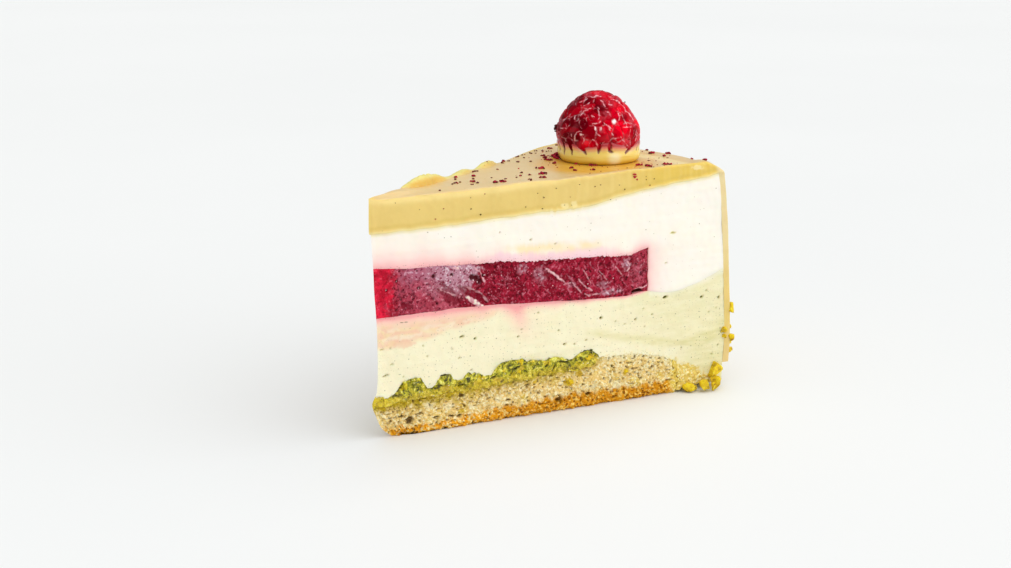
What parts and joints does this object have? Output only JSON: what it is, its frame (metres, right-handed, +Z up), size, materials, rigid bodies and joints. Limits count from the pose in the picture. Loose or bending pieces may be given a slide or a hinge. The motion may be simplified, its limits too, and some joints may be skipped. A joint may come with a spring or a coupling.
{
  "type": "slice of layered mousse cake",
  "caption": "Wedge of pistachio and raspberry mousse cake with a sponge base, a jelly layer, a praline glaze and a raspberry on top; stands on its flat foot.",
  "frame": {"origin": "on the surface the slice stands on, half way between its tip and its round outer side, on the line that halves the wedge", "axes": "+X from the tip to the round outer side, +Z up, -Y the cut face that the picture shows"},
  "size_m": [0.104, 0.0564, 0.0777],
  "materials": {
    "sponge_base": "crumbly yellow sponge with a browned crust underneath",
    "pistachio_filling": "moist olive-green ground pistachio",
    "pistachio_mousse": "smooth pale green mousse with fine pores",
    "raspberry_jelly": "moist dark red jelly, brighter where it is thin",
    "vanilla_mousse": "smooth creamy white mousse with fine pores",
    "praline_glaze": "soft satin tan glaze",
    "berry_collar": "glossy tan glaze",
    "raspberry": "deep red berry under a clear gel"
  },
  "bodies": {
    "root": {"sponge_base": "sponge_base", "pistachio_filling": "pistachio_filling", "pistachio_mousse": "pistachio_mousse", "raspberry_jelly": "raspberry_jelly", "vanilla_mousse": "vanilla_mousse", "praline_glaze": "praline_glaze", "berry_collar": "berry_collar", "raspberry": "raspberry"}
  },
  "joints": []
}
